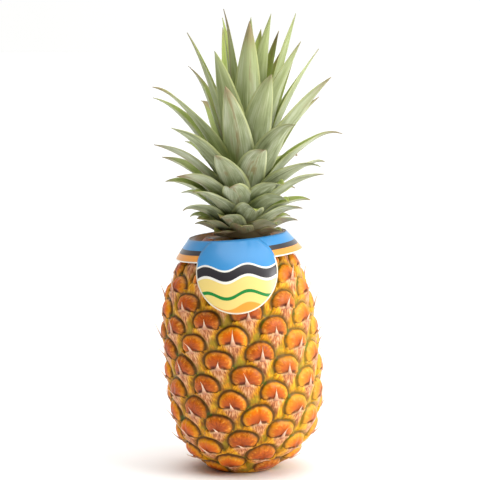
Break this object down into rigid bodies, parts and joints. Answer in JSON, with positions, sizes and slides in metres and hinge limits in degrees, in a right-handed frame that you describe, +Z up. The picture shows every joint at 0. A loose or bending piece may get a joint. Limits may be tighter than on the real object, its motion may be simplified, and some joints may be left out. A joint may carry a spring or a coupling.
{
  "type": "pineapple",
  "caption": "Whole fresh pineapple standing on its trimmed base, with raised eyes and bracts, a leafy crown and a paper collar with a round disc at the neck.",
  "frame": {"origin": "centre of the flat trimmed base of the fruit", "axes": "+Z up the fruit to the crown, -Y towards the front disc of the collar, +X to the right seen from the front"},
  "size_m": [0.1387, 0.1403, 0.336],
  "materials": {
    "rind": "waxy orange rind with dark grooves and dry bracts",
    "leaf": "grey-green leaf with a pale bloom",
    "printed_paper": "coated printed paper, half gloss"
  },
  "bodies": {
    "root": {"fruit": "rind", "crown": "leaf", "paper_collar": "printed_paper"}
  },
  "joints": []
}
